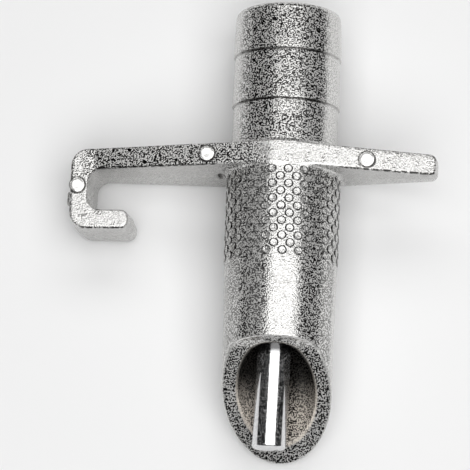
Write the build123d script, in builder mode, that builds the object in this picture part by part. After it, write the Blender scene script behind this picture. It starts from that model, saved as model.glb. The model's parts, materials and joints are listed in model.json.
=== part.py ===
from build123d import *
from math import atan2, cos, degrees, pi, radians, sin, sqrt, tan
import os

# A hose-fed bleed key: a die-cast body with a ribbed hose tail, two arms, one of them hooked, and a
# pimpled grip, and inside it a spring-held valve whose polished pin stands in the slanted mouth.
# Millimetres. X runs across the arms, Y along the barrel to the hose tail, Z up. Stations are counted
# along the barrel from the end of the hose tail to the mouth.

# ---- hose tail and barrel
TAIL_EDGE = 0.9          # rounding of the tail's end
BEND = 0.3               # rounding of the skin's shallow bends
STEP_EDGE = 0.04         # and of the barbs' steps
STEP = 0.1               # length of each step
LONG_BEND = 3.0
OVER = 2.0               # by which the blank stands past the mouth
BARB_LOW = 6.60          # radius behind each barb
BARB_TOP = 6.78          # radius of each barb's land
BARB_1 = 6.0             # station where the first barb steps down
BARB_2 = 12.45
LAND = 0.95              # length of each land
NECK = 6.72              # radius where the tail meets the arms
NECK_AT = 18.0
GRIP = 7.03              # radius under the pimples
GRIP_START = 20.0
GRIP_END = 33.5
WAIST = 6.87             # the barrel narrows behind the grip
WAIST_AT = 41.0
MOUTH_R = 6.80
LENGTH = 56.9

# ---- bores
BORE = 5.0               # bore of the hose tail
BORE_EDGE = 0.2
WEB_FROM = 25.0          # the wall between the two bores carries the valve seat
WEB_TO = 27.0
WEB_HOLE = 3.1
CORE = 4.7               # bore behind the mouth, where its core starts
CORE_END = 4.85          # and at the end of the mouth
CLIP_GROOVE = 5.45
CLIP_FROM = 1.15
CLIP_TO = 2.15

# ---- slanted mouth, as a side view: height above the axis and station
LIP_AT = 42.73           # the square lip at the front
LIP_LEAN = 0.22
SLANT_AT = 48.65         # where the slant crosses the axis
SLANT = 1.17             # station gained for each millimetre down
LIP_CURVE = 3.0
LIP_HEIGHT = 4.645       # where the lip's face would meet the slant
SIDE_CUT = 9.0           # half width of the tool that cuts it

# ---- arms
ARM_TOP = 17.7           # upper edge on the axis, at the parting plane
ARM_LOW = 21.3
HOOK_TOP = 18.38         # upper edge at the hook
HOOK_X = 26.62           # reach of the hook's outside
HOOK_INSIDE = 24.0
HOOK_LEG = 26.15         # the return leg, from its inner to its outer edge
HOOK_LOW = 28.9
HOOK_TIP = 18.75
HOOK_FLAT = 23.4         # from here out the hook has one depth
LEG_FLAT = 23.7          # and so has all of it that lies past this station
TIP_X = 19.35            # reach of the straight arm
TIP_TOP = 18.5
ARM_CREST = 7.3          # half depth where the arms meet
HOOK_SLOPE = 8.18        # degrees that the faces fall towards the hook
TIP_SLOPE = 16.3
CREST_CURVE = 6.0
HOOK_CURVE = 2.0
HOOK_CORNERS = [2.3, 2.3, 1.2, 1.2, 1.4, 1.5]
TIP_CORNER = 0.9
BLANK = 8.0              # depth of the arms before their faces are cut
MARGIN = 2.0             # by which the cutting tools overreach
DRAFT = 3.0
ARM_EDGE = 0.25
MARKS = [(-8.98, 19.56), (-25.5, 23.2), (10.82, 19.79)]    # ejector marks on the front
MARK_R = 1.05
MARK_PROUD = 0.25
GATE_X = 27.35           # broken gate on the hook's outside
GATE_AT = 24.2
GATE_LONG = 1.8
GATE_DEEP = 1.6
GATE_BASE = 26.0
GATE_EDGE = 0.3

# ---- pimples of the grip
COLUMNS = 48
PITCH = 1.878            # along one column; the next column is half a pitch off
FIRST = 21.69
ROWS = 6
TURNED = 1.76            # degrees from the front to the first column
PIMPLE_BASE = 0.58
PIMPLE_TOP = 0.44
PIMPLE_PROUD = 0.12
PIMPLE_ROOT = 0.38       # part sunk in the barrel

# ---- valve
BALL = 3.4
BALL_AT = 21.67
PIN = 2.1
PIN_END = 55.7
PIN_EDGE = 0.35
PIN_LEAN = 1.2           # degrees that the pin stands over towards the hook
SEAT_FROM = 23.4
SEAT_R = 4.93
SEAT_HOLE = 2.75
SEAT_GAP = 0.03
CUP_R = 4.7
CUP_FROM = 17.4
CUP_TO = 21.0
CUP_GAP = 0.06
CUP_BOSS = 2.7
CUP_BOSS_FROM = 16.2
FLUTES = 4
FLUTE = 1.1

# ---- spring, its bush, the strainer and the ring that keeps them in
BUSH_FROM = 9.6
BUSH_TO = 12.0
BUSH_R = 4.95
BUSH_BORE = 3.9
BUSH_FLOOR = 0.9
BUSH_PORT = 1.0          # radius of the port
WIRE = 0.6
COIL = 3.7               # mean radius
TURNS = 4.5
SPRING_CLEAR = 0.05
COIL_PITCH = (CUP_FROM - BUSH_TO - WIRE - 2 * SPRING_CLEAR) / TURNS
STRAINER_FROM = 2.2
STRAINER_R = 4.93
STRAINER_WALL = 0.9
STRAINER_STEP = 0.3
STRAINER_EYE = 2.6
WINDOW = 3.2
WINDOW_LONG = 3.6
MESH_FROM = 2.9
MESH_THICK = 0.3
MESH_BED = 4.0           # the inner flange under the mesh ends here
MESH_R = 4.6
MESH_HOLE = 0.5
MESH_PITCH = 0.8
MESH_COUNT = 11
CLIP_R = 5.4
CLIP_WIDE = 1.0
CLIP_THICK = 0.9
CLIP_MOUTH = 40          # degrees left open

# The key lies on the crest of its arms and on the far corner of the hook, so it stands rolled.
HOOK_DEPTH = ARM_CREST - HOOK_FLAT * tan(radians(HOOK_SLOPE))
TIP_END = TIP_X + 0.65
TIP_DEPTH = ARM_CREST - TIP_END * tan(radians(TIP_SLOPE))
ROLL = degrees(atan2(ARM_CREST - HOOK_DEPTH, HOOK_X))

lying = Plane.XY.rotated((0, -ROLL, 0))
outline = Plane(origin=(0, 0, 0), x_dir=lying.x_dir, z_dir=-lying.z_dir)     # across, station
side = Plane(origin=(0, 0, 0), x_dir=lying.z_dir, z_dir=lying.x_dir)         # height, station


def across(station):
    """The plane across the barrel at a station, facing the mouth: x across, y to the front."""
    return Plane(origin=(0, -station, 0), x_dir=lying.x_dir, z_dir=(0, -1, 0))


def washer(radius, hole, start, end, mode=Mode.ADD):
    """Adds or cuts a plain ring about the barrel's axis, from one station to another."""
    with BuildSketch(outline, mode=Mode.PRIVATE) as ring:
        with Locations(((radius + hole) / 2, (start + end) / 2)):
            Rectangle(radius - hole, end - start)
    revolve(ring.sketch, axis=Axis.Y, mode=mode)


def face_height(x):
    """Half depth of the arms at a distance across."""
    if x < -HOOK_FLAT:
        return HOOK_DEPTH
    return ARM_CREST - abs(x) * tan(radians(HOOK_SLOPE if x < 0 else TIP_SLOPE))


# ---- the two arms, widest at the parting plane
with BuildPart() as arms:
    with BuildSketch(outline):
        with BuildLine():
            hook_line = FilletPolyline(
                (0, ARM_TOP), (-HOOK_X, HOOK_TOP), (-HOOK_X, HOOK_LOW), (-HOOK_TIP, HOOK_LOW),
                (-HOOK_TIP, HOOK_LEG), (-HOOK_INSIDE, HOOK_LEG), (-HOOK_INSIDE, ARM_LOW), (0, ARM_LOW),
                radius=HOOK_CORNERS,
            )
            Line(hook_line @ 1, hook_line @ 0)
        make_face()
    extrude(amount=BLANK, both=True, taper=DRAFT)
    with BuildSketch(outline):
        with BuildLine():
            arm_line = FilletPolyline(
                (0, ARM_TOP), (TIP_X, TIP_TOP), (TIP_X, ARM_LOW), (0, ARM_LOW), radius=TIP_CORNER
            )
            Line(arm_line @ 1, arm_line @ 0)
        make_face()
    extrude(amount=BLANK, both=True, taper=DRAFT)
    # the faces fall from the crest to the hook and to the tip
    with BuildSketch(across(ARM_TOP - MARGIN)):
        with BuildLine():
            half = [
                (-HOOK_X - MARGIN, HOOK_DEPTH), (-HOOK_FLAT, HOOK_DEPTH), (0, ARM_CREST), (TIP_END, TIP_DEPTH)
            ]
            back = [(x, -z) for x, z in reversed(half)]
            curves = [HOOK_CURVE, CREST_CURVE, 0, 0, CREST_CURVE, HOOK_CURVE]
            faces = FilletPolyline(*half, *back, radius=curves)
            Line(faces @ 1, faces @ 0)
        make_face()
    extrude(amount=HOOK_LOW - ARM_TOP + 2 * MARGIN, mode=Mode.INTERSECT)
    # the return leg is flat
    with BuildSketch(across(LEG_FLAT)):
        with Locations((-HOOK_TIP, HOOK_DEPTH), (-HOOK_TIP, -HOOK_DEPTH - BLANK)):
            Rectangle(HOOK_INSIDE, BLANK, align=(Align.CENTER, Align.MIN))
    extrude(amount=HOOK_LOW - LEG_FLAT + MARGIN, mode=Mode.SUBTRACT)
    # every edge between a face and a side is rounded
    facing = [face for face in arms.faces() if abs(face.normal_at().dot(lying.z_dir)) > 0.9]
    rims = [edge for face in facing for edge in face.edges()]
    spots = [tuple(round(v, 3) for v in edge @ 0.5) for edge in rims]
    fillet([edge for edge, spot in zip(rims, spots) if spots.count(spot) == 1], ARM_EDGE)

# ---- the casting: tail, barrel, pimples and arms in one piece, then its bores and the slanted mouth
with BuildPart() as casting:
    with BuildSketch(outline):
        with BuildLine():
            skin = FilletPolyline(
                (0, 0), (BARB_LOW, 0), (BARB_TOP, BARB_1 - LAND), (BARB_TOP, BARB_1),
                (BARB_LOW, BARB_1 + STEP), (BARB_TOP, BARB_2 - LAND), (BARB_TOP, BARB_2),
                (BARB_LOW, BARB_2 + STEP), (NECK, NECK_AT), (GRIP, GRIP_START), (GRIP, GRIP_END),
                (WAIST, WAIST_AT), (MOUTH_R, LENGTH + OVER), (0, LENGTH + OVER),
                radius=[TAIL_EDGE, *2 * [BEND, STEP_EDGE, STEP_EDGE], BEND, BEND, LONG_BEND, LONG_BEND, BEND],
            )
            Line(skin @ 1, skin @ 0)
        make_face()
    revolve(axis=Axis.Y)
    for row in range(2 * ROWS):
        with Locations(across(FIRST + row * PITCH / 2)):
            turned = 90 - TURNED - (1 - row % 2) * 360 / COLUMNS
            with PolarLocations(GRIP - PIMPLE_ROOT, COLUMNS // 2, start_angle=turned):
                Cone(
                    PIMPLE_BASE, PIMPLE_TOP, PIMPLE_ROOT + PIMPLE_PROUD, rotation=(0, 90, 0),
                    align=(Align.CENTER, Align.CENTER, Align.MIN),
                )
    add(arms.part)
    for x, station in MARKS:
        with BuildSketch(Plane(outline.from_local_coords((x, station, 0)), z_dir=lying.z_dir)):
            Circle(MARK_R)
        extrude(amount=face_height(x) + MARK_PROUD)
    with BuildSketch(across(GATE_AT - GATE_LONG / 2)):
        with Locations((-(GATE_X + GATE_BASE) / 2, 0)):
            RectangleRounded(GATE_X - GATE_BASE, GATE_DEEP, GATE_EDGE)
    extrude(amount=GATE_LONG)
    with BuildSketch(outline):
        with BuildLine():
            Polyline(
                (0, -OVER), (BORE + BORE_EDGE + OVER, -OVER), (BORE, BORE_EDGE), (BORE, CLIP_FROM),
                (CLIP_GROOVE, CLIP_FROM), (CLIP_GROOVE, CLIP_TO), (BORE, CLIP_TO), (BORE, WEB_FROM),
                (WEB_HOLE, WEB_FROM), (WEB_HOLE, WEB_TO), (CORE, WEB_TO), (CORE_END, LENGTH),
                (CORE_END, LENGTH + 2 * OVER), (0, LENGTH + 2 * OVER), close=True,
            )
        make_face()
    revolve(axis=Axis.Y, mode=Mode.SUBTRACT)
    with BuildSketch(side):
        with BuildLine():
            slant = FilletPolyline(
                (SIDE_CUT, LIP_AT + (MOUTH_R - SIDE_CUT) * LIP_LEAN),
                (LIP_HEIGHT, LIP_AT + (MOUTH_R - LIP_HEIGHT) * LIP_LEAN),
                (-SIDE_CUT, SLANT_AT + SIDE_CUT * SLANT),
                radius=LIP_CURVE,
            )
            Polyline(slant @ 1, (SIDE_CUT, SLANT_AT + SIDE_CUT * SLANT), slant @ 0)
        make_face()
    extrude(amount=SIDE_CUT, both=True, mode=Mode.SUBTRACT)
casting.part.label = "cast_body"


# ---- valve pin: a ball head and a shank that leaves through the seat, leaning a little to the hook
leaning = Plane(
    outline.from_local_coords((0, BALL_AT, 0)), x_dir=outline.x_dir, z_dir=outline.z_dir
).rotated((0, 0, -PIN_LEAN))
PIN_REACH = PIN_END - BALL_AT
SHANK_FROM = sqrt(BALL**2 - PIN**2)
with BuildPart() as pin:
    with BuildSketch(leaning):
        with BuildLine():
            ThreePointArc((0, -BALL), (BALL, 0), (PIN, SHANK_FROM))
            Polyline((PIN, SHANK_FROM), (PIN, PIN_REACH - PIN_EDGE))
            RadiusArc((PIN, PIN_REACH - PIN_EDGE), (PIN - PIN_EDGE, PIN_REACH), -PIN_EDGE)
            Polyline((PIN - PIN_EDGE, PIN_REACH), (0, PIN_REACH), (0, -BALL))
        make_face()
    revolve(axis=Axis(leaning.origin, leaning.y_dir))
pin.part.label = "valve_pin"

# ---- rubber seat ring, with a spherical seat just clear of the ball
with BuildPart() as seat:
    washer(SEAT_R, SEAT_HOLE, SEAT_FROM, WEB_FROM)
    with Locations(outline.from_local_coords((0, BALL_AT, 0))):
        Sphere(BALL + SEAT_GAP, mode=Mode.SUBTRACT)
seat.part.label = "seat_ring"

# ---- spring cup: a socket over the ball, with flutes for the water and a boss inside the spring
with BuildPart() as cup:
    washer(CUP_R, 0, CUP_FROM, CUP_TO)
    washer(CUP_BOSS, 0, CUP_BOSS_FROM, CUP_FROM)
    with Locations(outline.from_local_coords((0, BALL_AT, 0))):
        Sphere(BALL + CUP_GAP, mode=Mode.SUBTRACT)
    with BuildSketch(across(CUP_FROM)):
        with PolarLocations(CUP_R, FLUTES, start_angle=45):
            Circle(FLUTE)
    extrude(amount=CUP_TO - CUP_FROM, mode=Mode.SUBTRACT)
cup.part.label = "spring_cup"


# ---- the spring: one wire, a quarter turn at a time, with a short straight at each end
def on_coil(turn):
    """A point of the coil and the way the wire runs there, after so many turns."""
    angle = 2 * pi * turn
    station = BUSH_TO + SPRING_CLEAR + WIRE / 2 + turn * COIL_PITCH
    place = Vector(COIL * cos(angle), -station, COIL * sin(angle))
    way = Vector(-COIL * sin(angle), -COIL_PITCH / (2 * pi), COIL * cos(angle))
    return place, way.normalized()


def biarc(start, start_way, end, end_way):
    """Draws two arcs that meet smoothly, from one point and direction to another."""
    span = end - start
    along = span.dot(start_way + end_way)
    bend = 2 * (1 - start_way.dot(end_way))
    reach = (sqrt(along**2 + bend * span.dot(span)) - along) / bend
    middle = (start + end + (start_way - end_way) * reach) / 2
    TangentArc(start, middle, tangent=start_way)
    TangentArc(end, middle, tangent=end_way * -1)


with BuildPart() as spring:
    with BuildLine() as wire:
        first, first_way = on_coil(0)
        last, last_way = on_coil(TURNS)
        Line(first - first_way * WIRE, first)
        for step in range(int(4 * TURNS)):
            biarc(*on_coil(step / 4), *on_coil((step + 1) / 4))
        Line(last, last + last_way * WIRE)
    with BuildSketch(Plane(first - first_way * WIRE, z_dir=first_way)):
        Circle(WIRE / 2)
    sweep(path=wire.wires()[0])
spring.part.label = "valve_spring"
half_turn = 50
coil_points = [on_coil(step / 2 / half_turn)[0] for step in range(int(2 * half_turn * TURNS))]
least_gap = min(
    (a - b).length - WIRE for i, a in enumerate(coil_points) for b in coil_points[i + half_turn:]
)
print(f"spring: least gap to itself {least_gap:.2f} mm")

# ---- the bush that the spring stands on: a cup whose small port sets the flow
with BuildPart() as bush:
    washer(BUSH_R, BUSH_PORT, BUSH_FROM, BUSH_TO)
    washer(BUSH_BORE, 0, BUSH_FROM, BUSH_TO - BUSH_FLOOR, Mode.SUBTRACT)
bush.part.label = "spring_bush"

# ---- strainer: a moulded frame with four windows, and the woven disc across its end
with BuildPart() as frame:
    washer(STRAINER_R, STRAINER_R - STRAINER_WALL, STRAINER_FROM, BUSH_FROM)
    washer(STRAINER_R - STRAINER_STEP, 0, STRAINER_FROM, MESH_FROM + MESH_THICK, Mode.SUBTRACT)
    washer(STRAINER_R - STRAINER_WALL, STRAINER_EYE, MESH_FROM + MESH_THICK, MESH_BED)
    with BuildSketch(across((MESH_BED + BUSH_FROM) / 2)):
        for turn in (0, 90):
            Rectangle(3 * STRAINER_R, WINDOW, rotation=turn)
    extrude(amount=WINDOW_LONG / 2, both=True, mode=Mode.SUBTRACT)
frame.part.label = "strainer_frame"

with BuildPart() as mesh:
    with BuildSketch(across(MESH_FROM)):
        Circle(MESH_R)
        with GridLocations(MESH_PITCH, MESH_PITCH, MESH_COUNT, MESH_COUNT) as grid:
            spots = [spot for spot in grid.local_locations if spot.position.length < MESH_R - MESH_HOLE]
        with Locations(spots):
            Rectangle(MESH_HOLE, MESH_HOLE, mode=Mode.SUBTRACT)
    extrude(amount=MESH_THICK)
mesh.part.label = "strainer_mesh"

# ---- the open ring in the tail's groove
with BuildPart() as clip:
    with BuildSketch(across((CLIP_FROM + CLIP_TO - CLIP_THICK) / 2)):
        with BuildLine():
            CenterArc((0, 0), CLIP_R - CLIP_WIDE / 2, CLIP_MOUTH / 2 - 90, 360 - CLIP_MOUTH)
            offset(amount=CLIP_WIDE / 2)
        make_face()
    extrude(amount=CLIP_THICK)
clip.part.label = "retaining_ring"

# ---- set down with the lowest points at Z = 0 and the middle of the casting over the origin
os.makedirs("parts", exist_ok=True)
box = casting.part.bounding_box()
set_down = Location((-box.center().X, -box.center().Y, -box.min.Z))
for piece in (casting, pin, seat, cup, spring, bush, frame, mesh, clip):
    part = piece.part.moved(set_down)
    part.label = piece.part.label
    export_step(part, f"parts/{part.label}.step")
    print(part.label, round(part.volume, 1), part.is_valid, len(part.solids()))
print("roll", round(ROLL, 3), "set down", set_down.position)
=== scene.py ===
# %% [markdown]
# # A die-cast bleed key, from its CAD solids to a studio picture
#
# The real thing is one zinc casting with a hose tail, two arms and a slanted mouth, and a polished pin
# stands in that mouth. The CAD solids have every true size, so nothing here changes a main dimension. What
# Blender adds is how the metal looks: the sandy skin that a mould leaves, rounded pimples, the seam where
# the mould halves met, and the polish of the pin.

import json
from math import cos, hypot, pi, radians, sin, tan

import bmesh
import bpy
import numpy as np
from mathutils import Matrix, Vector

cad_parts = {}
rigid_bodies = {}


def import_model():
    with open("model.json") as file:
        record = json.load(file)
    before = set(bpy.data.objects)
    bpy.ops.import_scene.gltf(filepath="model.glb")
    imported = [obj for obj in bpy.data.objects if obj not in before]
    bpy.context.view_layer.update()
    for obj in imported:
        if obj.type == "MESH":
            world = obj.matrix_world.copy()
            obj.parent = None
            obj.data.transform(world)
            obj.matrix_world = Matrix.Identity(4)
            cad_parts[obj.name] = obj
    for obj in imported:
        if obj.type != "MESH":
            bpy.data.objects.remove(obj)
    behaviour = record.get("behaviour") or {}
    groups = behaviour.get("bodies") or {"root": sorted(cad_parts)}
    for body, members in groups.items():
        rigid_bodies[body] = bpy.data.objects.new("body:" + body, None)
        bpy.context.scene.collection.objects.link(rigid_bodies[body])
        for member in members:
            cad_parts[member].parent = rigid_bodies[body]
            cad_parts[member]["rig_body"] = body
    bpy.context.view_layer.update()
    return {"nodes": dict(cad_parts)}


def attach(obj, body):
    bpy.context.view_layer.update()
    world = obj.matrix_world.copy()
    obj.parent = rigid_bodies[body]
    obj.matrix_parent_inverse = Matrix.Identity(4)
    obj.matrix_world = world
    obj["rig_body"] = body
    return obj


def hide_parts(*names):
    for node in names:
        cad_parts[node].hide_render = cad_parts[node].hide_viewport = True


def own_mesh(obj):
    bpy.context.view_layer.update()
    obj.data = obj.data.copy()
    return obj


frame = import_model()
MM = 0.001

# %% [markdown]
# ## Where the barrel lies
#
# The key lies rolled over a little, on its back and on the far corner of its hook. It is easier to place
# pimples, seams, wear, painted shade and painted highlights in the barrel's own directions, so they are
# worked
# out once: across the arms, along the barrel from the hose end ("station"), and up from the parting plane
# ("rise").

# %% The barrel's own directions
ROLL = radians(7.202)
AXIS_START = Vector((3.94597, 28.3073, 7.22106)) * MM
ACROSS = Vector((cos(ROLL), 0, sin(ROLL)))
ALONG = Vector((0, -1, 0))
RISE = Vector((-sin(ROLL), 0, cos(ROLL)))
WAYS = np.array([ACROSS, ALONG, RISE])
LENGTH = 56.9


def place(across, station, rise):
    """The point of the frame that lies at these millimetres from the barrel's start."""
    return AXIS_START + (ACROSS * across + ALONG * station + RISE * rise) * MM


print("mouth end of the axis", tuple(round(v, 4) for v in place(0, LENGTH, 0)))

# %% [markdown]
# ## Smooth copies of the solids
#
# A CAD solid arrives as loose triangles, and loose triangles can only be shaded flat. A copy whose double
# corners are merged can be shaded smooth, with its edges kept sharp wherever two faces meet at a clear
# angle. The copy has exactly the solid's shape, rides on the same body and stands for the same node. A
# new mesh for each piece was the other way, but it would have risked a size, and these shapes are plain.
#
# The spring stands on its bush and is pressed shorter when the cup comes down on it, and real coils close up
# evenly. Here its copy is only given a mesh of its own, and the stations of its two ends are listed.

# %% Copy, merge and smooth
SHARP = radians(28)
DOUBLE = 0.002 * MM


def put(name, data):
    """A new object with this data, in the scene."""
    made = bpy.data.objects.new(name, data)
    bpy.context.scene.collection.objects.link(made)
    return made


def smooth_copy(node, name):
    """Stands a smooth-shaded copy in for a CAD node, and returns it."""
    source = frame["nodes"][node]
    mesh = source.data.copy()
    mesh.name = name
    work = bmesh.new()
    work.from_mesh(mesh)
    bmesh.ops.remove_doubles(work, verts=work.verts, dist=DOUBLE)
    bmesh.ops.dissolve_degenerate(work, edges=work.edges, dist=DOUBLE / 4)
    work.to_mesh(mesh)
    work.free()
    mesh.shade_smooth()
    mesh.set_sharp_from_angle(angle=SHARP)
    mesh.materials.clear()
    piece = put(name, mesh)
    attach(piece, source["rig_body"])
    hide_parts(node)
    print(name, len(mesh.vertices), "vertices", len(mesh.polygons), "faces")
    return piece


pin = smooth_copy("valve_pin", "polished_pin")
seat = smooth_copy("seat_ring", "seat_rubber")
cup = smooth_copy("spring_cup", "spring_cup_moulding")
spring = smooth_copy("valve_spring", "coil_spring")
bush = smooth_copy("spring_bush", "bush_moulding")
strainer = smooth_copy("strainer_frame", "strainer_moulding")
mesh_disc = smooth_copy("strainer_mesh", "woven_disc")
clip = smooth_copy("retaining_ring", "snap_ring")

# %% The spring's own mesh
SPRING_FOOT, SPRING_TOP = 12.0, 17.35    # stations of the spring's ends
tuple(place(0, SPRING_FOOT, 0))
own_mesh(spring)

# %% [markdown]
# ## The casting
#
# A casting has no sharp edges. The mould rounds every corner, and where an arm leaves the barrel the metal
# runs into a fillet. The CAD solid has the true sizes but plain edges, and its triangles are long and
# thin, which shows on metal. Bevels would not survive where so many curved faces cross. So the casting is
# written as one distance formula from the same sizes: how far any point is from the metal. Two formulas
# join or cut each other with a round of a chosen radius, and a net of points is then laid on the surface
# where the distance is nought.

# %% Sizes of the casting, in millimetres
BARB_LOW, BARB_TOP, NECK, GRIP, WAIST, MOUTH_R = 6.60, 6.78, 6.72, 7.03, 6.87, 6.80
SKIN = [                 # station and radius
    (-1, BARB_LOW), (0, BARB_LOW), (5.05, BARB_TOP), (6.0, BARB_TOP), (6.12, BARB_LOW), (11.5, BARB_TOP),
    (12.45, BARB_TOP), (12.57, BARB_LOW), (14.3, BARB_LOW), (18.0, NECK), (20.0, GRIP), (33.5, GRIP),
    (41.0, WAIST), (59, MOUTH_R),
]
BORE = [                 # station and radius
    (-1, 5.9), (0.2, 5.0), (1.1, 5.0), (1.15, 5.45), (2.15, 5.45), (2.2, 5.0), (24.95, 5.0), (25.05, 3.1),
    (26.95, 3.1), (27.05, 4.7), (LENGTH, 4.85), (59, 4.85),
]
ARMS = [                 # corner across and along, and its round
    ((19.35, 18.5), 0.9), ((0, 17.7), 9.0), ((-26.62, 18.38), 2.3), ((-26.62, 28.9), 2.3),
    ((-18.75, 28.9), 1.2), ((-18.75, 26.15), 1.2), ((-24.0, 26.15), 1.4), ((-24.0, 21.3), 1.5),
    ((19.35, 21.3), 0.9),
]
CREST = 7.3              # half depth where the arms meet
HOOK_FLAT = 23.4         # from here out the hook has one depth
HOOK_FALL, TIP_FALL = radians(8.18), radians(16.3)
HOOK_DEPTH = CREST - HOOK_FLAT * tan(HOOK_FALL)
FACES = [                # half depth across the arms: corner and its round
    ((-30, HOOK_DEPTH), 0), ((-HOOK_FLAT, HOOK_DEPTH), 2.0), ((0, CREST), 6.0),
    ((22, CREST - 22 * tan(TIP_FALL)), 0),
]
LEG_ACROSS, LEG_ALONG = -10, 23.7        # the return leg lies beyond both and has the hook's depth
FACE_LEAN = 0.98         # turns a height over the leaning faces into a distance
DRAFT = radians(3)
SLANT_AT, SLANT = 48.65, 1.17            # where the mouth's slant crosses the axis, and its steepness
LIP_AT, LIP_LEAN = 42.73, 0.22           # the square lip at the front
TAIL_EDGE, MOUTH_FILLET, MOUTH_EDGE, BORE_EDGE = 0.9, 0.6, 0.22, 0.15
ARM_FILLET, ARM_EDGE = 0.55, 0.25
GATE, GATE_HALF = (-26.0, 24.2, 0.0), (1.0, 0.55, 0.45)      # stub left by the broken gate
GATE_EDGE, GATE_FILLET = 0.35, 0.25
FLAW, FLAW_HALF, FLAW_EDGE = (-7.75, 21.35, 0.6), (0.45, 0.5, 1.3), 0.1
print(len(SKIN), "stations of the skin,", len(BORE), "of the bores,", len(ARMS), "corners of the arms")


# %% Rounded outlines
def arc(before, corner, after, radius, steps=8):
    """Points that take a corner round, from one side to the other."""
    before, corner, after = (np.array(p, float) for p in (before, corner, after))
    if radius == 0:
        return [corner]
    one = (before - corner) / np.linalg.norm(before - corner)
    two = (after - corner) / np.linalg.norm(after - corner)
    half = np.arccos(np.clip(one @ two, -1, 1)) / 2
    middle = corner + (one + two) / np.linalg.norm(one + two) * radius / np.sin(half)
    start = corner + one * radius / np.tan(half) - middle
    end = corner + two * radius / np.tan(half) - middle
    whole = pi - 2 * half
    line = []
    for part in np.linspace(0, 1, steps + 1):
        spoke = np.sin((1 - part) * whole) * start + np.sin(part * whole) * end
        line.append(middle + spoke / np.sin(whole))
    return line


def rounded(corners, closed):
    """An outline through these (point, radius) corners."""
    count = len(corners)
    line = []
    for k, (point, radius) in enumerate(corners):
        ends = not closed and k in (0, count - 1)
        before, after = corners[k - 1][0], corners[(k + 1) % count][0]
        line += arc(before, point, after, 0 if ends else radius)
    return np.array(line)


def from_outline(across, along, line):
    """Distance to a closed outline, less than nought inside it."""
    across, along = np.broadcast_arrays(across, along)
    nearest = np.full(across.shape, 1e9)
    inside = np.zeros(across.shape, bool)
    for (x1, y1), (x2, y2) in zip(line, np.roll(line, -1, axis=0)):
        dx, dy = x2 - x1, y2 - y1
        part = np.clip(((across - x1) * dx + (along - y1) * dy) / (dx * dx + dy * dy), 0, 1)
        nearest = np.minimum(nearest, (across - x1 - part * dx) ** 2 + (along - y1 - part * dy) ** 2)
        if dy:
            crossed = (y1 > along) != (y2 > along)
            inside ^= crossed & (across < x1 + (along - y1) * dx / dy)
    return np.where(inside, -1, 1) * np.sqrt(nearest)


ARMS_LINE = rounded(ARMS, True)
FACES_LINE = rounded(FACES, False)
print("outline of the arms", len(ARMS_LINE), "points, line of their faces", len(FACES_LINE), "points")


# %% Joining and cutting with a round
def joined(a, b, radius):
    """Two shapes as one, with a fillet in the corner between them."""
    inner = np.hypot(np.maximum(radius - a, 0), np.maximum(radius - b, 0))
    return np.maximum(np.minimum(a, b), radius) - inner


def shared(a, b, radius):
    """What two shapes share, with its edges taken round."""
    outer = np.hypot(np.maximum(a + radius, 0), np.maximum(b + radius, 0))
    return np.minimum(np.maximum(a, b), -radius) + outer


def rounded_box(at, middle, half, edge):
    """Distance to a box with these half sizes, grown by a rounded edge."""
    across, station, rise = (np.maximum(np.abs(a - m) - h, 0) for a, m, h in zip(at, middle, half))
    return np.hypot(np.hypot(station, rise), across) - edge


def half_depth(across):
    """Half depth of the arms at a distance across."""
    return np.interp(across, *FACES_LINE.T)


def casting_distance(across, station, rise):
    """Distance in millimetres from the casting's surface, less than nought in the metal."""
    radius = np.hypot(across, rise)
    skin = radius - np.interp(station, *np.array(SKIN).T)
    skin = shared(skin, -station, TAIL_EDGE)
    slant = (station - (SLANT_AT - SLANT * rise)) / np.hypot(1, SLANT)
    lip = (station - (LIP_AT + (MOUTH_R - rise) * LIP_LEAN)) / np.hypot(1, LIP_LEAN)
    mouth = joined(slant, lip, MOUTH_FILLET)
    skin = shared(skin, mouth, MOUTH_EDGE)
    walls = (from_outline(across, station, ARMS_LINE) + np.abs(rise) * tan(DRAFT)) * cos(DRAFT)
    leg = (across < LEG_ACROSS) & (station > LEG_ALONG)
    faces = (np.abs(rise) - np.where(leg, HOOK_DEPTH, half_depth(across))) * FACE_LEAN
    arms = shared(joined(skin, walls, ARM_FILLET), faces, ARM_EDGE)
    gate = rounded_box((across, station, rise), GATE, GATE_HALF, GATE_EDGE)
    metal = joined(np.minimum(skin, arms), gate, GATE_FILLET)
    bore = np.interp(station, *np.array(BORE).T) - radius
    metal = shared(metal, bore, BORE_EDGE)
    off = zip((across, station, rise), FLAW, FLAW_HALF)
    flaw = np.sqrt(sum(((a - m) / h) ** 2 for a, m, h in off))
    return shared(metal, (1 - flaw) * FLAW_HALF[0], FLAW_EDGE)


# %% Lay a net on the surface
CORNERS = np.array([(i, j, k) for i in (0, 1) for j in (0, 1) for k in (0, 1)])
EDGES = [(a, b) for a in range(8) for b in range(a + 1, 8) if np.abs(CORNERS[a] - CORNERS[b]).sum() == 1]
NET_LOW, NET_HIGH = (-28.1, -0.7, -7.9), (20.3, 57.6, 7.9)
NET_STEP = 0.18


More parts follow.
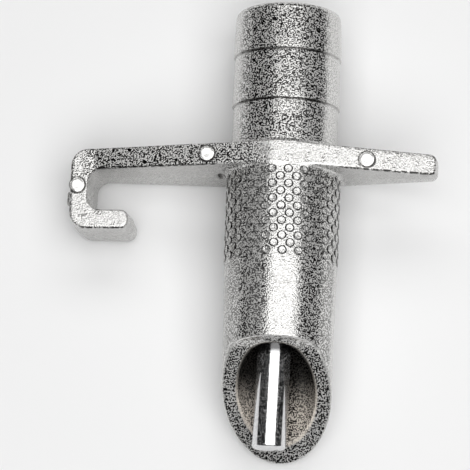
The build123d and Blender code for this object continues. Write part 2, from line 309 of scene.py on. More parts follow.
def surface_net(distance, low, high, step):
    """Vertices and four-cornered faces of the surface where a distance is nought."""
    sizes = [int((h - g) / step) + 1 for g, h in zip(low, high)]
    axes = [g + step * np.arange(n) for g, n in zip(low, sizes)]
    field = distance(axes[0][:, None, None], axes[1][None, :, None], axes[2][None, None, :])
    within = field < 0
    mixed = np.zeros([n - 1 for n in sizes], np.int8)
    for i, j, k in CORNERS:
        mixed += within[i:sizes[0] - 1 + i, j:sizes[1] - 1 + j, k:sizes[2] - 1 + k]
    cells = np.argwhere((mixed > 0) & (mixed < 8))
    number = np.full(mixed.shape, -1, np.int32)
    number[tuple(cells.T)] = np.arange(len(cells))
    values = np.stack([field[tuple((cells + c).T)] for c in CORNERS], axis=1)
    total = np.zeros((len(cells), 3))
    hits = np.zeros(len(cells))
    for a, b in EDGES:
        cut = (values[:, a] < 0) != (values[:, b] < 0)
        part = np.where(cut, values[:, a] / np.where(cut, values[:, a] - values[:, b], 1), 0)
        total += cut[:, None] * (CORNERS[a] + part[:, None] * (CORNERS[b] - CORNERS[a]))
        hits += cut
    points = np.array(low) + step * (cells + total / hits[:, None])
    faces = []
    for axis in range(3):
        one, two = (axis + 1) % 3, (axis + 2) % 3
        ends = [slice(0, -1) if n == axis else slice(1, -1) for n in range(3)]
        other = [slice(1, None) if n == axis else slice(1, -1) for n in range(3)]
        first, second = within[tuple(ends)], within[tuple(other)]
        offset = np.array([0 if n == axis else 1 for n in range(3)])
        for keep, order in ((first & ~second, -1), (second & ~first, 1)):
            at = np.argwhere(keep) + offset
            ring = []
            for back_one, back_two in ((1, 1), (0, 1), (0, 0), (1, 0)):
                cell = at.copy()
                cell[:, one] -= back_one
                cell[:, two] -= back_two
                ring.append(number[tuple(cell.T)])
            faces.append(np.stack(ring[::order], axis=1))
    return points, np.concatenate(faces)


def slope(distance, points, reach=0.01):
    """The way outwards at each point."""
    parts = []
    for axis in range(3):
        shift = np.zeros(3)
        shift[axis] = reach
        parts.append(distance(*(points + shift).T) - distance(*(points - shift).T))
    return np.stack(parts, axis=1) / (2 * reach)


def settle(distance, points, rounds=2, most=0.1, least_slope=0.3):
    """Moves points onto the surface, by no more than so far in a round."""
    for _ in range(rounds):
        way = slope(distance, points)
        far = distance(*points.T) / np.maximum((way ** 2).sum(axis=1), least_slope)
        points = points - way * np.clip(far, -most, most)[:, None]
    return points


net_points, net_faces = surface_net(casting_distance, NET_LOW, NET_HIGH, NET_STEP)
net_points = settle(casting_distance, net_points)
print("net", len(net_points), "points", len(net_faces), "faces")

# %% The casting's mesh
MOST_TRIANGLES = 190000


def frame_points(points):
    """Millimetres from the barrel's start, as points of the frame."""
    return np.array(AXIS_START) + points @ WAYS * MM


def thinned(mesh, name, most):
    """The same mesh with at most so many triangles, fewest where it is flat."""
    carrier = put(name, mesh)
    modifier = carrier.modifiers.new("thin", "DECIMATE")
    modifier.ratio = min(1.0, most / (2 * len(mesh.polygons)))
    evaluated = carrier.evaluated_get(bpy.context.evaluated_depsgraph_get())
    thin = bpy.data.meshes.new_from_object(evaluated)
    thin.name = name
    bpy.data.objects.remove(carrier)
    return thin


def volume(mesh):
    """Volume in cubic millimetres, less than nought where faces point inwards."""
    check = bmesh.new()
    check.from_mesh(mesh)
    found = check.calc_volume(signed=True) / MM ** 3
    check.free()
    return round(found, 1)


raw = bpy.data.meshes.new("casting_net")
raw.from_pydata(net_points.tolist(), [], net_faces.tolist())
casting_mesh = thinned(raw, "casting", MOST_TRIANGLES)
at = np.zeros(len(casting_mesh.vertices) * 3, np.float32)
casting_mesh.vertices.foreach_get("co", at)
at = at.reshape(-1, 3).astype(float)
outwards = slope(casting_distance, at)
outwards /= np.linalg.norm(outwards, axis=1)[:, None]
casting_mesh.vertices.foreach_set("co", frame_points(at).astype(np.float32).ravel())
casting_mesh.shade_smooth()
casting_mesh.normals_split_custom_set_from_vertices((outwards @ WAYS).tolist())
casting_mesh.update()
casting = put("casting", casting_mesh)
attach(casting, "body")
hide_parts("cast_body")
print("casting", len(casting_mesh.polygons), "faces", volume(casting_mesh), "mm3")

# %% [markdown]
# ## The ejector marks
#
# Three round pins pushed the casting out of its mould, and each left a flat, shiny disc that stands a
# little proud. A disc is a profile turned about an axis, so one small lathe makes all three. Each disc
# starts just under the lower side of the face it stands on, so that it never comes out of the back.

# %% Lathe
MARKS = [(-8.98, 19.56), (-25.5, 23.2), (10.82, 19.79)]      # across and station
MARK_R, MARK_PROUD, MARK_SUNK = 1.05, 0.25, 0.1
MARK_PROFILE = [(MARK_R, 0.14), (1.01, 0.05), (0.93, 0.0), (0.55, 0.012), (0.2, 0.02)]       # radius, depth


def lathe(profile, segments, origin, axis_up, axis_side):
    """Points and faces turned from (radius, height) points about an axis."""
    third = np.cross(axis_up, axis_side)
    points = []
    faces = []
    for radius, height in profile:
        for k in range(segments):
            angle = 2 * pi * k / segments
            side_way = np.cos(angle) * np.array(axis_side) + np.sin(angle) * third
            points.append(np.array(origin) + radius * side_way + height * np.array(axis_up))
    for ring in range(len(profile) - 1):
        for k in range(segments):
            a, b = ring * segments + k, ring * segments + (k + 1) % segments
            faces.append((a, a + segments, b + segments, b))
    faces.append(tuple(range(segments)))
    last = (len(profile) - 1) * segments
    faces.append(tuple(range(last, last + segments))[::-1])
    return points, faces


mark_points, mark_faces = [], []
for x, station_at in MARKS:
    top = float(half_depth(x)) + MARK_PROUD
    foot = float(min(half_depth([x - MARK_R, x + MARK_R]))) - MARK_SUNK
    profile = [(MARK_R, foot)] + [(radius, top - under) for radius, under in MARK_PROFILE]
    some_points, some_faces = lathe(profile, 40, (x, station_at, 0), (0, 0, 1), (0, 1, 0))
    mark_faces += [tuple(len(mark_points) + k for k in face) for face in some_faces]
    mark_points += some_points
marks_mesh = bpy.data.meshes.new("ejector_marks")
marks_mesh.from_pydata(frame_points(np.array(mark_points)).tolist(), [], mark_faces)
marks_mesh.shade_smooth()
marks_mesh.set_sharp_from_angle(angle=radians(40))
marks = put("ejector_marks", marks_mesh)
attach(marks, "body")
print("marks", len(marks_mesh.polygons), "faces", volume(marks_mesh), "mm3")

# %% [markdown]
# ## The pimples of the grip
#
# The mould was drilled with a lattice of shallow holes, and each left a small stud on the barrel with a
# worn, slightly dished top. They could be modelled one by one or drawn as a bump, but a bump has no
# outline and casts no shadow. The lattice follows a rule, so Geometry Nodes make it: points are numbered,
# each number gives a row and a column, and one low stud is set on every point, facing outwards. A stud has
# two finishes: its top, worn and painted a little brighter as its highlight, and the outer ring of its
# faces, painted dark as the shade of its steep wall. A mark on that outer ring tells them apart.


# %% Bench for Geometry Nodes
class Tree:
    """A Geometry Nodes tree: one method adds any node, links or sets its sockets, and returns it."""

    def __init__(self, name, inputs):
        self.group = bpy.data.node_groups.new(name, "GeometryNodeTree")
        face = self.group.interface
        face.new_socket("Geometry", in_out="OUTPUT", socket_type="NodeSocketGeometry")
        self.keys = {}
        for label, (kind, value) in inputs.items():
            socket = face.new_socket(label, in_out="INPUT", socket_type=kind)
            socket.default_value = value
            self.keys[label] = socket.identifier
        self.given = self.group.nodes.new("NodeGroupInput")
        self.result = self.group.nodes.new("NodeGroupOutput")

    def node(self, kind, settings=None, sockets=None, out=0):
        made = self.group.nodes.new(kind)
        for key, value in (settings or {}).items():
            setattr(made, key, value)
        for key, value in (sockets or {}).items():
            if isinstance(value, bpy.types.NodeSocket):
                self.group.links.new(value, made.inputs[key])
            else:
                made.inputs[key].default_value = value
        return made.outputs[out]

    def maths(self, operation, *values):
        return self.node("ShaderNodeMath", {"operation": operation}, dict(enumerate(values)))

    def vector(self, operation, sockets, out=0):
        return self.node("ShaderNodeVectorMath", {"operation": operation}, sockets, out)

    def point(self, parts):
        return self.node("ShaderNodeCombineXYZ", None, parts)

    def ranged(self, value, low, high, start, end):
        given = {"Value": value, "From Min": low, "From Max": high, "To Min": start, "To Max": end}
        return self.node("ShaderNodeMapRange", None, given)

    def name(self, label):
        return self.given.outputs[label]


# %% The lattice of studs
CROWN = 0.667            # shares of a stud's radius: where its top ends,
DISH = 0.6               # how far its dish reaches,
FOOT_FROM = 0.7          # and where the painted shade at its foot begins
DISH_LEFT = 0.86         # height left in the middle of the dish

lattice = Tree("pimple_lattice", {
    "Columns": ("NodeSocketInt", 22),
    "Rows": ("NodeSocketInt", 12),
    "Row pitch": ("NodeSocketFloat", 0.939 * MM),
    "First row": ("NodeSocketFloat", 21.69 * MM),
    "First turn": ("NodeSocketFloat", radians(78.88)),
    "Row twist": ("NodeSocketFloat", radians(-0.43)),
    "Barrel radius": ("NodeSocketFloat", GRIP * MM),
    "Stud radius": ("NodeSocketFloat", 0.62 * MM),
    "Stud height": ("NodeSocketFloat", 0.11 * MM),
    "Stud root": ("NodeSocketFloat", 0.03 * MM),
    "Finish": ("NodeSocketMaterial", None),
    "Foot shade finish": ("NodeSocketMaterial", None),
})
maths = lattice.maths
columns = lattice.name("Columns")
number = lattice.node("GeometryNodeInputIndex")
row = maths("FLOOR", maths("DIVIDE", maths("ADD", number, 0.5), columns))
column = maths("SUBTRACT", number, maths("MULTIPLY", row, columns))
half_turn = maths("MULTIPLY", maths("MODULO", row, 2.0), 0.5)
round_turn = maths("MULTIPLY", maths("ADD", column, half_turn), maths("DIVIDE", 2 * pi, columns))
twist = maths("MULTIPLY", row, lattice.name("Row twist"))
turn = maths("ADD", maths("ADD", lattice.name("First turn"), twist), round_turn)
travel = maths("MULTIPLY", row, lattice.name("Row pitch"))
station = maths("ADD", lattice.name("First row"), travel)
outward = lattice.point({0: maths("COSINE", turn), 2: maths("SINE", turn)})
radial = lattice.vector("SCALE", {0: outward, "Scale": lattice.name("Barrel radius")})
spot = lattice.vector("ADD", {0: radial, 1: lattice.point({1: maths("MULTIPLY", station, -1.0)})})
count = maths("MULTIPLY", columns, lattice.name("Rows"))
points = lattice.node("GeometryNodePoints", None, {"Count": count, "Position": spot})

disc = lattice.node("GeometryNodeMeshCone", {"fill_type": "NGON"}, {
    "Vertices": 12,
    "Side Segments": 3,
    "Radius Top": 0.0,
    "Radius Bottom": lattice.name("Stud radius"),
    "Depth": 0.0,
})
reach = lattice.vector("LENGTH", {0: lattice.node("GeometryNodeInputPosition")}, "Value")
share = maths("DIVIDE", reach, lattice.name("Stud radius"))
shoulder = lattice.ranged(share, CROWN, 1.0, 1.0, 0.0)
dish = lattice.ranged(share, 0.0, DISH, DISH_LEFT, 1.0)
whole_height = maths("ADD", lattice.name("Stud height"), lattice.name("Stud root"))
rise = maths("MULTIPLY", shoulder, maths("MULTIPLY", dish, whole_height))
lifted = lattice.point({2: maths("SUBTRACT", rise, lattice.name("Stud root"))})
wall = lattice.node("FunctionNodeCompare", {"operation": "GREATER_THAN"}, {0: share, 1: FOOT_FROM})
told = lattice.node(
    "GeometryNodeStoreNamedAttribute", {"data_type": "BOOLEAN", "domain": "FACE"},
    {"Geometry": disc, "Name": "foot", "Value": wall},
)
stud = lattice.node("GeometryNodeSetPosition", None, {"Geometry": told, "Offset": lifted})
facing = lattice.node("FunctionNodeAlignRotationToVector", {"axis": "Z"}, {"Vector": outward})
set_out = lattice.node(
    "GeometryNodeInstanceOnPoints", None, {"Points": points, "Instance": stud, "Rotation": facing},
)
real = lattice.node("GeometryNodeRealizeInstances", None, {"Geometry": set_out})
finish = lattice.node("GeometryNodeSetMaterial", None, {"Geometry": real, "Material": lattice.name("Finish")})
at_foot = lattice.node("GeometryNodeInputNamedAttribute", {"data_type": "BOOLEAN"}, {"Name": "foot"})
footed = lattice.node(
    "GeometryNodeSetMaterial", None,
    {"Geometry": finish, "Selection": at_foot, "Material": lattice.name("Foot shade finish")},
)
lattice.group.links.new(footed, lattice.result.inputs[0])


def grown(name, tree, values):
    """Runs a tree on an empty mesh and returns the result as a plain mesh object."""
    carrier = put(name + "_carrier", bpy.data.meshes.new(name + "_seed"))
    modifier = carrier.modifiers.new("grow", "NODES")
    modifier.node_group = tree.group
    for label, value in values.items():
        modifier[tree.keys[label]] = value
    evaluated = carrier.evaluated_get(bpy.context.evaluated_depsgraph_get())
    mesh = bpy.data.meshes.new_from_object(evaluated)
    mesh.name = name
    bpy.data.objects.remove(carrier)
    return put(name, mesh)


def lay(mesh):
    """Turns a mesh from the barrel's own directions into the frame's."""
    turn_to = Matrix((ACROSS, -ALONG, RISE)).transposed().to_4x4()
    mesh.transform(Matrix.Translation(AXIS_START) @ turn_to)


print("lattice of", len(lattice.group.nodes), "nodes")

# %% [markdown]
# ## Node maths in plain Python
#
# A finish is a tree of nodes, and sums written as nodes are hard to read. One small class wraps a socket
# so that Python's own operators add the Math nodes, and one method makes any other kind of node. The
# finishes below then read like formulas.


# %% Bench for the finishes
class Wire:
    """A socket that Python's operators can do sums with."""

    def __init__(self, bench, socket):
        self.bench = bench
        self.socket = socket

    def __add__(self, other):
        return self.bench.maths("ADD", self, other)

    def __radd__(self, other):
        return self.bench.maths("ADD", other, self)

    def __sub__(self, other):
        return self.bench.maths("SUBTRACT", self, other)

    def __rsub__(self, other):
        return self.bench.maths("SUBTRACT", other, self)

    def __mul__(self, other):
        return self.bench.maths("MULTIPLY", self, other)

    def __truediv__(self, other):
        return self.bench.maths("DIVIDE", self, other)

    def __pow__(self, other):
        return self.bench.maths("POWER", self, other)

    def __abs__(self):
        return self.bench.maths("ABSOLUTE", self)


class Finish:
    """One material: its nodes, and the shader that shows."""

    def __init__(self, name):
        self.material = bpy.data.materials.new(name)
        self.material.use_nodes = True
        self.tree = self.material.node_tree
        self.tree.nodes.clear()
        self.output = self.tree.nodes.new("ShaderNodeOutputMaterial")
        self.object_place = self.node("ShaderNodeTexCoord", out="Object")

    def node(self, kind, settings=None, sockets=None, out=0):
        made = self.tree.nodes.new(kind)
        for key, value in (settings or {}).items():
            setattr(made, key, value)
        for key, value in (sockets or {}).items():
            if isinstance(value, Wire):
                self.tree.links.new(value.socket, made.inputs[key])
            else:
                made.inputs[key].default_value = value
        return Wire(self, made.outputs[out])

    def maths(self, operation, *values):
        return self.node("ShaderNodeMath", {"operation": operation}, dict(enumerate(values)))

    def largest(self, first, *others):
        for other in others:
            first = self.maths("MAXIMUM", first, other)
        return first

    def spread(self, value, low, high, start=0.0, end=1.0):
        """Stretches a value's range, held at both ends."""
        given = {"Value": value, "From Min": low, "From Max": high, "To Min": start, "To Max": end}
        return self.node("ShaderNodeMapRange", {"interpolation_type": "SMOOTHSTEP"}, given)

    def near(self, value, full, none, most=1.0):
        """The most where a value is close to nought on either side, fading out further off."""
        return self.spread(abs(value), full, none, most, 0.0)

    def mixed(self, share, first, second):
        sockets = {0: share, 6: first, 7: second}
        return self.node("ShaderNodeMix", {"data_type": "RGBA"}, sockets, out=2)

    def noise(self, scale, detail=2.0, rough=0.5, place=None):
        given = {"Vector": place or self.object_place, "Scale": scale, "Detail": detail, "Roughness": rough}
        return self.node("ShaderNodeTexNoise", None, given)

    def bump(self, height, distance, strength=1.0):
        given = {"Height": height, "Distance": distance, "Strength": strength}
        return self.node("ShaderNodeBump", None, given)

    def show(self, **sockets):
        """Ends the tree in one Principled shader, its sockets named with _ for a space."""
        named = {key.replace("_", " "): value for key, value in sockets.items()}
        shader = self.node("ShaderNodeBsdfPrincipled", None, named)
        self.tree.links.new(shader.socket, self.output.inputs["Surface"])
        return self.material

    def barrel_place(self):
        """Across, station and rise in millimetres, as three wires."""
        sockets = {0: self.object_place, 1: AXIS_START}
        moved = self.node("ShaderNodeVectorMath", {"operation": "SUBTRACT"}, sockets)
        parts = []
        for way in (ACROSS, ALONG, RISE):
            sockets = {0: moved, 1: way}
            dot = self.node("ShaderNodeVectorMath", {"operation": "DOT_PRODUCT"}, sockets, out="Value")
            parts.append(dot * (1 / MM))
        return parts


def rgba(colour, tone=1.0):
    """A colour for a socket, made lighter or darker."""
    return (*(part * tone for part in colour), 1)


# %% [markdown]
# ## The cast skin
#
# Zinc fills a rough mould and keeps its grain. Under a lamp that grain is a mix of two things: glossy
# grains that mirror the dim room and look dark, and matt ones that scatter the light. One fine noise says
# which is which and also moves the normal, so that both agree, and coarser ones vary it as the flow of
# the metal did.
#
# The rest are masks in the barrel's own millimetres. Hands and tables rubbed the faces of the arms and the
# crest, and these are also painted brighter where the lamp's highlight falls; the rims of the mouth carry a
# painted highlight. The drafted walls left the mould smoother, and the walls of the arms are painted darker
# as shade. Painted shade darkens the grooves behind the barbs, the slopes of the tail, the hooked arm's face,
# the arms' edges and the deep end of the bore, and the skin is darker round the ejector marks and in a small
# flaw beside the hooked arm. A picture of real metal would be easier, but formulas in object space fit every
# side and every angle without a seam.

# %% Cast zinc
GRAIN = 5600.0           # cells of the finest noise to a metre
LUMPS = 2352.0
COARSE = 840.0
FLOW = 240.0
GRAIN_SPLIT = (0.488, 0.524)             # noise below is a dark grain, above a bright one
MATT = 0.22
GLOSSY = 0.06
RAMPS = [(0.2, 5.3), (6.3, 11.8), (14.0, 17.6)]              # slopes of the tail, whose front is painted darker as shade
GROOVES = [6.16, 12.61]                  # stations just behind the barbs
MARK_FLAT, MARK_RING = 1.02, (0.07, 0.16)                    # the darker ring round a mark: its radius, its width
MARK_OFF = 0.05
OVER_FRONT = (3.2, 3.6)                  # rise from which a face of the arms looks to the front
BORE_R, RIM_R = 4.98, 6.72               # radii of the mouth's two rims
LOW_EDGE, HIGH_EDGE, HIGH_EDGE_LEAN = 21.05, 18.1, 0.041     # where the arms' edges run
LEG_EDGE, BAR_EDGE = 28.7, -26.4
PALE_METAL, DULL_METAL = (0.80, 0.795, 0.78), (0.66, 0.655, 0.64)
# the first colour here is painted shade for the arms' walls, the last is painted shade for the bore's deep
# end
SHADED_WALL_METAL, BORE_METAL, BORE_SHADE = (0.40, 0.395, 0.385), (0.80, 0.725, 0.64), (0.015, 0.014, 0.013)
# the second grain colour is painted shade, for the tail's slopes and the hooked arm's face
DARK_GRAIN, SHADED_GRAIN = (0.17, 0.168, 0.163), (0.055, 0.054, 0.052)
# the colour of the painted shade, and of the darker rings and flaw
SHADE_AND_DARKENING = (0.05, 0.048, 0.046)


def cast_zinc(name, depth, tone=1.0, wear_and_highlight_share=0.0):
    """The skin, from its grain's depth in millimetres, its tone and the share of dark grains taken off for
    wear and a painted highlight.
    """
    cast = Finish(name)
    across, station, rise = cast.barrel_place()
    radius = (across ** 2.0 + rise ** 2.0) ** 0.5
    lumps = cast.noise(LUMPS, 1.0)
    coarse = cast.noise(COARSE, 2.0)
    flow = cast.noise(FLOW, 3.0, 0.55)
    sand = cast.noise(GRAIN, 0.0) * 0.80 + lumps * 0.20
    front = cast.spread(rise, *OVER_FRONT)
    inside = cast.near(radius, 4.95, 5.25) * cast.spread(station, 26.0, 28.0)
    # painted shade: the bore is painted near black towards its deep end
    bore_shade = inside * cast.spread(station, 45.5, 51.0, 1.0, 0.0)

    # the ejector marks, pressed flat, each with a darker ring round it
    mark, ring = 0.0, 0.0
    for x, s in MARKS:
        away = ((across - x) ** 2.0 + (station - s - MARK_OFF) ** 2.0) ** 0.5
        mark = cast.largest(mark, cast.near(away, 0.82, 0.96))
        ring = cast.largest(ring, cast.near(away - MARK_FLAT, *MARK_RING))
    mark = mark * front
    ring = ring * front * cast.spread(coarse, 0.3, 0.5, 0.55, 1.0)

    # the face of the straight arm, the hook and the crest: rubbed bright, and painted brighter where the
    # lamp's highlight falls
    straight_arm_face = cast.spread(across, -4.0, -1.5) * cast.spread(station, 21.2, 22.0, 1.0, 0.0)
    outer_bar = cast.spread(across, -24.4, -25.4, 0.0, 0.6)
    turned_in = cast.largest(cast.spread(station, 21.8, 22.8), outer_bar)
    hooked = cast.spread(across, -17.0, -19.0) * turned_in
    crest = cast.spread(rise, 5.6, 6.4) * cast.spread(station, 20.0, 22.0)
    wear_and_highlight = cast.largest(straight_arm_face, hooked, crest * 0.6)
    wear_and_highlight = wear_and_highlight * cast.spread(rise, 1.6, 2.2) * cast.spread(station, 17.5, 18.3)
    wear_and_highlight = wear_and_highlight * cast.spread(coarse, 0.25, 0.5)

    # and a painted highlight along the rounded rims of the mouth
    slant = (station - SLANT_AT + rise * SLANT) / hypot(1, SLANT)
    lip = (station - LIP_AT - (MOUTH_R - rise) * LIP_LEAN) / hypot(1, LIP_LEAN)
    mouth_face = abs(cast.maths("MINIMUM", slant, lip))
    rim_highlight = cast.largest(cast.near(radius - BORE_R, 0.08, 0.22), cast.near(radius - RIM_R, 0.06, 0.2))
    rim_highlight = rim_highlight * cast.spread(mouth_face, 0.2, 0.45, 1.4, 0.0)
    wear_and_highlight = cast.largest(wear_and_highlight, rim_highlight * cast.spread(coarse, 0.3, 0.5, 0.5, 1.0))

    # the walls of the arms and the lower half of the barrel, which left the mould smoother
    left_fall = cast.maths("MINIMUM", across, 0.0) * tan(HOOK_FALL)
    right_fall = cast.maths("MAXIMUM", across, 0.0) * tan(TIP_FALL)
    below_face = left_fall - right_fall - rise + CREST
    arm_wall = cast.spread(abs(across), 7.1, 7.6) * cast.spread(below_face, 0.35, 0.9)
    low = cast.spread(station, 17.0, 20.0, 3.2, 0.6)
    smoother = cast.largest(arm_wall, cast.spread(rise - low, 1.6, 0.0)) * (1.0 - inside)
    smoother = smoother * cast.spread(mouth_face, 0.2, 0.5)

    # grains that stay dark after all of that
    dark_grain = (1.0 - cast.spread(sand, *GRAIN_SPLIT)) * (1.0 - smoother * 0.7) * (1.0 - wear_and_highlight_share)
    dark_grain = dark_grain * (1.0 - mark * 0.7) * (1.0 - wear_and_highlight * 0.6)
    # painted shade: darker grains on the front of the tail's slopes
    ramp_shade = 0.0
    for begins, ends in RAMPS:
        here = cast.spread(station, begins, begins + 0.5) * cast.spread(station, ends - 0.6, ends, 1.0, 0.0)
        ramp_shade = cast.largest(ramp_shade, here)
    # painted shade on the hooked arm's face, short of where the hook turns
    corner = cast.spread(across, -18.0, -19.5) * front * (1.0 - turned_in)
    ramp_shade = cast.largest(ramp_shade * cast.spread(rise, 3.2, 4.6), corner)
    metal = cast.mixed(flow, rgba(DULL_METAL, tone), rgba(PALE_METAL, tone))
    # painted shade: the walls of the arms are painted darker
    metal = cast.mixed(arm_wall * 0.5, metal, rgba(SHADED_WALL_METAL))
    metal = cast.mixed(inside * 0.9, metal, rgba(BORE_METAL))
    # painted shade in the deep end of the bore
    metal = cast.mixed(bore_shade * 0.97, metal, rgba(BORE_SHADE))
    colour = cast.mixed(dark_grain * 0.96, metal, cast.mixed(ramp_shade, rgba(DARK_GRAIN), rgba(SHADED_GRAIN)))

    # painted shade behind the barbs and along the edges, and a darker ring round each mark and in the flaw
    groove_shade = 0.0
    for at_station in GROOVES:
        off = station - at_station - (flow - 0.5) * 0.25
        groove_shade = cast.largest(groove_shade, cast.near(off, 0.06, 0.22))
    groove_shade = groove_shade * cast.spread(rise, 3.0, 4.8, 0.35, 1.0)
    shade_and_darkening = cast.largest(ring * 0.85, groove_shade * cast.spread(coarse, 0.25, 0.5, 0.5, 0.85))
    # painted shade: dark lines along the rounded edges of the arms' faces and of the hook
    on_arm = cast.spread(abs(across), 7.2, 8.0) * cast.spread(below_face, 0.25, 0.6, 1.0, 0.0)
    low_edge = cast.near(station - LOW_EDGE, 0.05, 0.25) * cast.spread(across, -23.6, -22.8)
    high_edge = cast.near(station - HIGH_EDGE - across * HIGH_EDGE_LEAN, 0.1, 0.4, 0.5)
    edges = cast.largest(low_edge, high_edge * cast.spread(across, 1.0, 3.0)) * on_arm
    leg_edge = cast.near(station - LEG_EDGE, 0.08, 0.25)
    bar_edge = cast.near(across - BAR_EDGE, 0.08, 0.25)
    hook_edge_shade = cast.largest(leg_edge, bar_edge) * cast.near(rise - HOOK_DEPTH + 0.2, 0.1, 0.3)
    hook_edge_shade = hook_edge_shade * cast.spread(across, -16.0, -18.0)
    shade_and_darkening = cast.largest(shade_and_darkening, cast.largest(edges, hook_edge_shade) * cast.spread(lumps, 0.40, 0.52))
    # the small flaw beside the hooked arm, painted darker
    hole_x, hole_s, hole_r = (way - middle for way, middle in zip((across, station, rise), FLAW))
    hole = (hole_x ** 2.0 + hole_s ** 2.0 + hole_r ** 2.0 * 0.2) ** 0.5
    shade_and_darkening = cast.largest(shade_and_darkening, cast.near(hole, 0.3, 0.75, 0.8))
    colour = cast.mixed(shade_and_darkening, colour, rgba(SHADE_AND_DARKENING))

    # gloss, the seam of the mould and the grain's relief
    roughness = GLOSSY + (1.0 - dark_grain) * (MATT - GLOSSY) * (1.0 - mark * 0.5)
    metallic = 1.0 - (1.0 - dark_grain) * (0.54 + inside * 0.3) * (1.0 - shade_and_darkening)
    seam = cast.near(rise + (flow - 0.5) * 0.25, 0.03, 0.12)
    seam = seam * cast.spread(coarse, 0.35, 0.6) * cast.spread(radius, 5.6, 6.2)
    seam = seam * cast.spread(station, 44.0, 46.0, 1.0, 0.0)
    height = sand + coarse * 0.25 + seam * 0.8
    normal = cast.bump(height * (1.0 - mark * 0.8), depth * MM)
    return cast.show(Base_Color=colour, Metallic=metallic, Roughness=roughness, Normal=normal)


zinc = cast_zinc("cast_zinc", 0.035)
# the studs' tops: worn, and painted a little brighter as their highlight
worn_lit_top_zinc = cast_zinc("cast_zinc_worn_lit_top", 0.035, wear_and_highlight_share=0.2)
# the ring at the studs' feet: painted shade, its metal taken down to a dark tone
foot_shade_zinc = cast_zinc("cast_zinc_foot_shade", 0.03, tone=0.18)
casting.data.materials.append(zinc)
marks.data.materials.append(zinc)
print("cast zinc of", len(zinc.node_tree.nodes), "nodes, in three tones")

# %% Grow the studs
pimples = grown("grip_pimples", lattice, {"Finish": worn_lit_top_zinc, "Foot shade finish": foot_shade_zinc})
lay(pimples.data)
pimples.data.shade_smooth()
pimples.data.set_sharp_from_angle(angle=radians(20))
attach(pimples, "body")
print("pimples", len(pimples.data.polygons), "faces")

# %% [markdown]
# ## The small parts
#
# The pin is steel, turned and polished: almost a mirror, with a few fine rings around it, dull specks, and
# painted shade where it comes out of the dark of the bore. The other small parts sit inside the bores and
# show only from the two ends, so each has one plain finish with a little grain.

# %% Finishes of the small parts
PIN_DULL, PIN_BRIGHT, PIN_SHADE = (0.62, 0.62, 0.63), (0.84, 0.84, 0.84), (0.02, 0.02, 0.02)
PIN_SHADE_AT = (43.3, 44.3)                  # stations between which the painted shade on the pin ends
RING_SCALE, RING_STRETCH = 6.0, 0.04     # noise cells to a millimetre along the pin, and their share round it
HAZE = 0.07


def polished_steel(name):
    """Turned steel: rings round the pin, a light haze, specks and painted shade at its root."""
    polished = Finish(name)
    across, station, rise = polished.barrel_place()
    stretched = {0: station, 1: across * RING_STRETCH, 2: rise * RING_STRETCH}
    rings = polished.node("ShaderNodeCombineXYZ", None, stretched)
    turned = polished.noise(RING_SCALE, 3.0, 0.6, rings)
    sand = polished.spread(polished.noise(GRAIN, 0.0), 0.40, 0.60)
    specks = polished.spread(polished.noise(GRAIN, 1.0), 0.54, 0.60)
    colour = polished.mixed(sand, rgba(PIN_DULL), rgba(PIN_BRIGHT))
    # painted shade on the pin where it comes out of the bore
    colour = polished.mixed(polished.spread(station, *PIN_SHADE_AT, 0.9, 0.0), colour, rgba(PIN_SHADE))
    roughness = polished.spread(turned, 0.3, 0.7, HAZE, HAZE + 0.06) + sand * 0.10
    normal = polished.bump(turned, 0.004 * MM, 0.6)
    return polished.show(Base_Color=colour, Metallic=1.0 - specks * 0.22, Roughness=roughness, Normal=normal)


def grained(name, dark, pale, metallic, rough, scale, depth):
    """A plain finish whose colour, gloss and surface all follow one fine noise."""
    plain = Finish(name)
    grain = plain.noise(scale, 3.0, 0.6)
    colour = plain.mixed(grain, rgba(dark), rgba(pale))
    roughness = plain.spread(grain, 0.3, 0.7, rough, rough + 0.12)
    normal = plain.bump(grain, depth * MM, 0.7)
    return plain.show(Base_Color=colour, Metallic=metallic, Roughness=roughness, Normal=normal)


steel = polished_steel("polished_steel")
wire = grained("drawn_wire", (0.50, 0.50, 0.51), (0.66, 0.66, 0.67), 1.0, 0.22, 5000.0, 0.006)
weave = grained("woven_wire", (0.46, 0.46, 0.46), (0.62, 0.62, 0.62), 1.0, 0.30, 6000.0, 0.01)
rubber = grained("seat_rubber", (0.020, 0.020, 0.021), (0.045, 0.045, 0.046), 0.0, 0.62, 4000.0, 0.02)
plastic = grained("moulded_plastic", (0.72, 0.72, 0.69), (0.83, 0.83, 0.80), 0.0, 0.42, 2500.0, 0.008)
for piece, made_of in (
    (pin, steel), (seat, rubber), (cup, plastic), (spring, wire), (bush, plastic), (strainer, plastic),
    (mesh_disc, weave), (clip, wire),
):
    piece.data.materials.append(made_of)
print("finishes", ", ".join(made.name for made in (steel, wire, weave, rubber, plastic)))

# %% [markdown]
# ## The studio
#
# Polished and cast metal show what stands around them more than their own colour. In the picture one wide
# soft box hangs over the key, so every surface that faces up glows, the shoulders of the barrel mirror a
# dim room, and the low flanks mirror the white table. The same things are built here: the soft box, a
# smaller one behind the key for the side that turns away, a white table, and a dark tent that stands for
# the dim room. The camera sees neither the tent nor the boxes, so past the table's edge the backdrop is
# plain white.

# %% Floor and world
BACKDROP = 0.93
TABLE_WHITE = (0.86, 0.86, 0.86)
HALF = 1.2
table_corners = [(-HALF, -HALF, 0), (HALF, -HALF, 0), (HALF, HALF, 0), (-HALF, HALF, 0)]
floor_mesh = bpy.data.meshes.new("table")
floor_mesh.from_pydata(table_corners, [], [(0, 1, 2, 3)])
floor = put("table", floor_mesh)
table_white = Finish("table_white")
floor_mesh.materials.append(
    table_white.show(Base_Color=rgba(TABLE_WHITE), Roughness=0.9, Specular_IOR_Level=0.0)
)

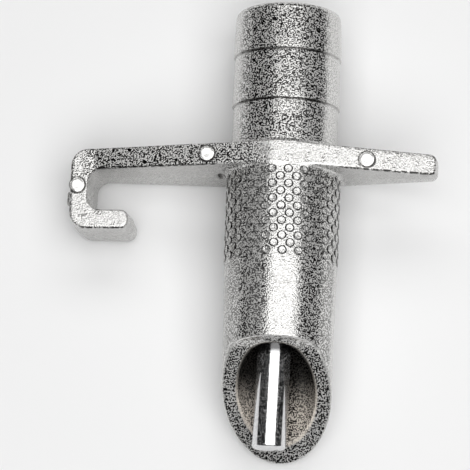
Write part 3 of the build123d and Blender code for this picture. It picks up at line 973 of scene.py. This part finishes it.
world = bpy.data.worlds.new("backdrop")
bpy.context.scene.world = world
world.use_nodes = True
background = world.node_tree.nodes["Background"]
background.inputs["Color"].default_value = (BACKDROP, BACKDROP, BACKDROP, 1)
print("table", 2 * HALF, "m wide")

# %% Dark tent
TENT_GREY = (0.045, 0.045, 0.046)
TENT_RADIUS = 1.15
TENT_COLUMNS = 32
TENT_ROWS = 8
tent_points = []
tent_faces = []
for ring in range(TENT_ROWS + 1):
    lift = radians(90) * ring / TENT_ROWS
    for column in range(TENT_COLUMNS):
        turn = 2 * pi * column / TENT_COLUMNS
        flat = TENT_RADIUS * cos(lift)
        tent_points.append((flat * cos(turn), flat * sin(turn), TENT_RADIUS * sin(lift)))
for ring in range(TENT_ROWS):
    for column in range(TENT_COLUMNS):
        near = ring * TENT_COLUMNS + column
        far = ring * TENT_COLUMNS + (column + 1) % TENT_COLUMNS
        tent_faces.append((far, near, near + TENT_COLUMNS, far + TENT_COLUMNS))
tent_mesh = bpy.data.meshes.new("tent")
tent_mesh.from_pydata(tent_points, [], tent_faces)
tent = put("tent", tent_mesh)
tent_grey = Finish("tent_grey")
tent_mesh.materials.append(
    tent_grey.show(Base_Color=rgba(TENT_GREY), Roughness=0.9, Specular_IOR_Level=0.0)
)
tent.visible_camera = False
print("tent", len(tent_faces), "faces")

# %% Soft boxes
BOX_HEIGHT, BOX_LEVEL = 0.60, 8.3
BOX_LEFT, BOX_RIGHT, BOX_NEAR, BOX_FAR = -0.270, 0.450, -0.740, 0.194
BEHIND_AT, BEHIND_SIZE, BEHIND_LEVEL, BEHIND_TILT = (0.0, 0.47, 0.52), (0.70, 0.26), 8.2, -42


def lamp_panel(name, place_at, size_x, size_y, level, tilt=0.0):
    """A flat lamp, its level given in watts for each square metre of it."""
    lamp = bpy.data.lights.new(name, "AREA")
    lamp.shape = "RECTANGLE"
    lamp.size = size_x
    lamp.size_y = size_y
    lamp.energy = level * size_x * size_y
    holder = put(name, lamp)
    holder.location = place_at
    holder.rotation_euler = (radians(tilt), 0, 0)
    holder.visible_camera = False
    print(name, round(lamp.energy, 2), "W")


box_middle = ((BOX_LEFT + BOX_RIGHT) / 2, (BOX_NEAR + BOX_FAR) / 2, BOX_HEIGHT)
lamp_panel("overhead", box_middle, BOX_RIGHT - BOX_LEFT, BOX_FAR - BOX_NEAR, BOX_LEVEL)
lamp_panel("behind", BEHIND_AT, *BEHIND_SIZE, BEHIND_LEVEL, BEHIND_TILT)

# %% [markdown]
# ## The camera
#
# The picture was taken from almost straight above, a little from the side of the mouth, with a long lens.
# The ribs, the arms and the mouth's outline gave the distance and the angles, and they are used here as
# they were found.

# %% Camera
PIXELS = 470
DISTANCE = 0.450
PIXELS_PER_MM = 8.0
TILT = radians(12.75)
YAW = radians(2.06)
CENTRE_PIXEL = 235.0
AIM_PIXEL = (281.73, 236.7)
AIM = place(0, 28.8, 0)

turn_yaw = Matrix.Rotation(YAW, 3, "Z")
right = turn_yaw @ Vector((1, 0, 0))
up = turn_yaw @ Vector((0, cos(TILT), sin(TILT)))
forward = turn_yaw @ Vector((0, sin(TILT), -cos(TILT)))
lens = bpy.data.cameras.new("camera")
lens.sensor_width = 36.0
lens.lens = DISTANCE / MM * PIXELS_PER_MM / PIXELS * lens.sensor_width
lens.clip_start = 0.05
lens.clip_end = 10
camera = put("camera", lens)
shift_right = (CENTRE_PIXEL - AIM_PIXEL[0]) / PIXELS_PER_MM * MM
shift_up = (AIM_PIXEL[1] - CENTRE_PIXEL) / PIXELS_PER_MM * MM
stand = AIM + right * shift_right + up * shift_up - forward * DISTANCE
turned = Matrix((right, up, -forward)).transposed().to_4x4()
camera.matrix_world = Matrix.Translation(stand) @ turned
bpy.context.scene.camera = camera
bpy.context.scene.view_settings.view_transform = "Standard"
print("camera stands at", tuple(round(v, 4) for v in stand), "lens", round(lens.lens, 1))
